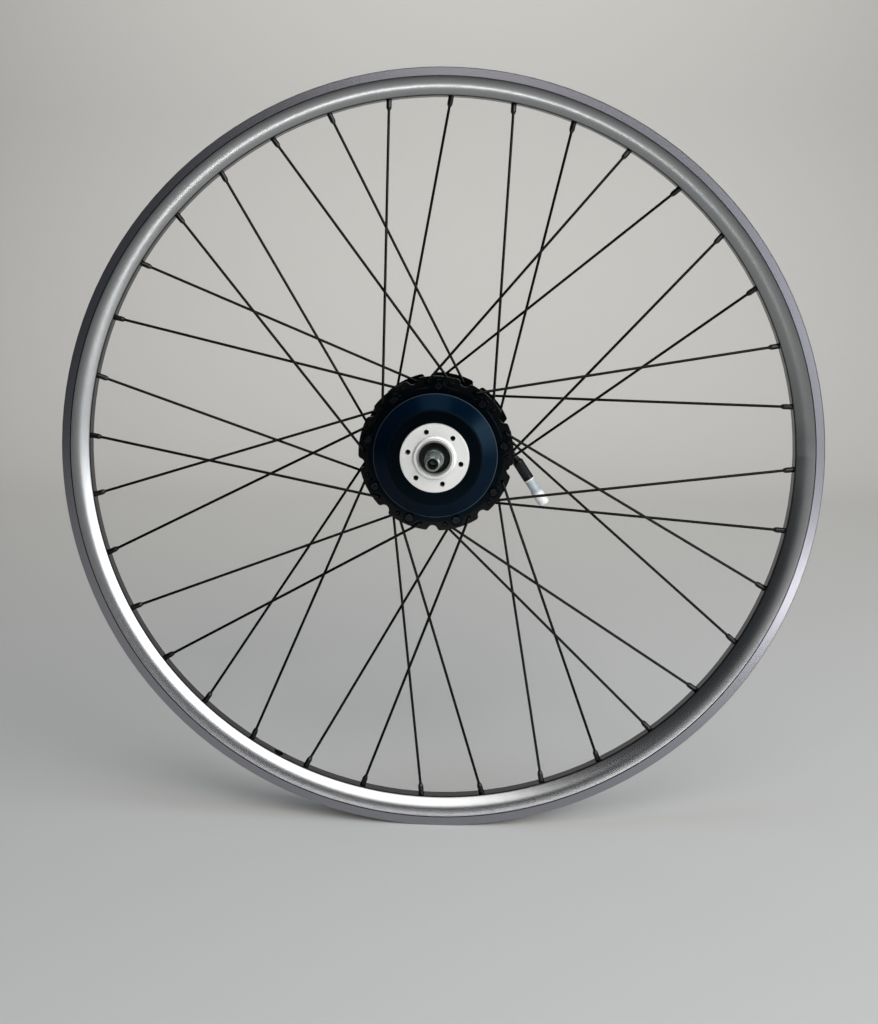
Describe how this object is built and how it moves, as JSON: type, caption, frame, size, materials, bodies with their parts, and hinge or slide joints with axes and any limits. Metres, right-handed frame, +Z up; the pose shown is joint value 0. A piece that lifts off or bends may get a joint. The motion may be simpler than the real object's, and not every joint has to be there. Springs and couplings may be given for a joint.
{
  "type": "bicycle hub motor wheel",
  "caption": "Bicycle wheel without its tyre: a planetary geared hub motor with a disc brake mount, laced by crossed spokes into a double-wall rim, with a short lead and plug.",
  "frame": {"origin": "the wheel's centre: on the axle's axis, in the rim's mid-plane, half way between the fork faces", "axes": "+Y along the axle from the brake disc side to the cable side, +Z up, +X to the right seen from the disc side"},
  "size_m": [0.6339, 0.196, 0.634],
  "materials": {
    "rim_alloy": "satin anodised",
    "nipple_black": "black",
    "spoke_black": "black coated",
    "hub_black": "satin black",
    "cover_black": "satin black",
    "gasket_paper": "matte",
    "screw_black": "black oxide",
    "mount_alloy": "machined",
    "zinc_steel": "zinc plated",
    "seal_rubber": "matte",
    "gear_steel": "ground",
    "carrier_alloy": "cast and machined",
    "bearing_steel": "polished",
    "bell_steel": "turned",
    "magnet_nickel": "nickel plated",
    "lamination_steel": "stacked sheet",
    "winding_copper": "enamelled wire",
    "board_green": "solder mask",
    "axle_steel": "machined",
    "spacer_steel": "machined",
    "cable_black": "satin sheath",
    "lead_yellow": "insulated wire",
    "grommet_rubber": "matte",
    "plug_black": "moulded",
    "insert_black": "moulded",
    "pin_brass": "plated",
    "cap_clear": "translucent",
    "planet_nylon": "moulded nylon",
    "bush_bronze": "sintered"
  },
  "bodies": {
    "axle_unit": {"axle": "axle_steel", "axle_spacer": "spacer_steel", "retaining_rings": "zinc_steel", "stator_core": "lamination_steel", "stator_windings": "winding_copper", "stator_spider": "carrier_alloy", "stator_keys": "gear_steel", "hall_sensor_board": "board_green", "clutch_inner_race": "bearing_steel", "cover_bearing_inner_race": "bearing_steel", "cover_bearing_balls": "bearing_steel", "cable_bearing_inner_race": "bearing_steel", "cable_bearing_balls": "bearing_steel", "rotor_bearing_inner_races": "bearing_steel", "rotor_bearing_balls": "bearing_steel", "cable_core": "cable_black", "phase_leads": "lead_yellow", "cable_grommet": "grommet_rubber", "motor_cable": "cable_black", "plug_boot": "plug_black", "plug_body": "plug_black", "plug_insert": "insert_black", "plug_pins": "pin_brass", "plug_cap": "cap_clear"},
    "carrier": {"planet_carrier": "carrier_alloy", "carrier_retainer": "carrier_alloy", "carrier_screws": "zinc_steel", "planet_pins": "gear_steel", "clutch_outer_race": "bearing_steel", "clutch_rollers": "bearing_steel"},
    "wheel": {"rim": "rim_alloy", "spoke_nipples": "nipple_black", "disc_outer_spokes": "spoke_black", "disc_inner_spokes": "spoke_black", "cable_outer_spokes": "spoke_black", "cable_inner_spokes": "spoke_black", "hub_shell": "hub_black", "disc_side_cover": "cover_black", "cover_gasket": "gasket_paper", "cover_screws": "screw_black", "disc_rotor_mount": "mount_alloy", "disc_mount_screws": "zinc_steel", "cover_seal": "seal_rubber", "cable_seal": "seal_rubber", "ring_gear": "gear_steel", "ring_gear_pins": "gear_steel", "cover_bearing_outer_race": "bearing_steel", "cable_bearing_outer_race": "bearing_steel"},
    "rotor": {"rotor_bell": "bell_steel", "rotor_magnets": "magnet_nickel", "sun_gear": "gear_steel", "rotor_bearing_outer_races": "bearing_steel"},
    "planet_1": {"planet_gear_1": "planet_nylon", "planet_bush_1": "bush_bronze"},
    "planet_2": {"planet_gear_2": "planet_nylon", "planet_bush_2": "bush_bronze"},
    "planet_3": {"planet_gear_3": "planet_nylon", "planet_bush_3": "bush_bronze"}
  },
  "joints": [
    {"name": "clutch_overrun", "type": "hinge", "parent": "axle_unit", "child": "carrier", "pos_m": [0, 0, 0], "axis": [0, 1, 0], "continuous": true},
    {"name": "wheel_spin", "type": "hinge", "parent": "carrier", "child": "wheel", "pos_m": [0, 0, 0], "axis": [0, 1, 0], "continuous": true},
    {"name": "rotor_spin", "type": "hinge", "parent": "carrier", "child": "rotor", "pos_m": [0, 0, 0], "axis": [0, 1, 0], "continuous": true},
    {"name": "planet_1_spin", "type": "hinge", "parent": "carrier", "child": "planet_1", "pos_m": [0, 0, 0.0255], "axis": [0, 1, 0], "continuous": true},
    {"name": "planet_2_spin", "type": "hinge", "parent": "carrier", "child": "planet_2", "pos_m": [-0.02208, 0, -0.01275], "axis": [0, 1, 0], "continuous": true},
    {"name": "planet_3_spin", "type": "hinge", "parent": "carrier", "child": "planet_3", "pos_m": [0.02208, 0, -0.01275], "axis": [0, 1, 0], "continuous": true}
  ],
  "couplings": [
    {"joint": "rotor_spin", "follows": "wheel_spin", "ratio": -4.6667},
    {"joint": "planet_1_spin", "follows": "wheel_spin", "ratio": 2.5455},
    {"joint": "planet_2_spin", "follows": "wheel_spin", "ratio": 2.5455},
    {"joint": "planet_3_spin", "follows": "wheel_spin", "ratio": 2.5455}
  ]
}
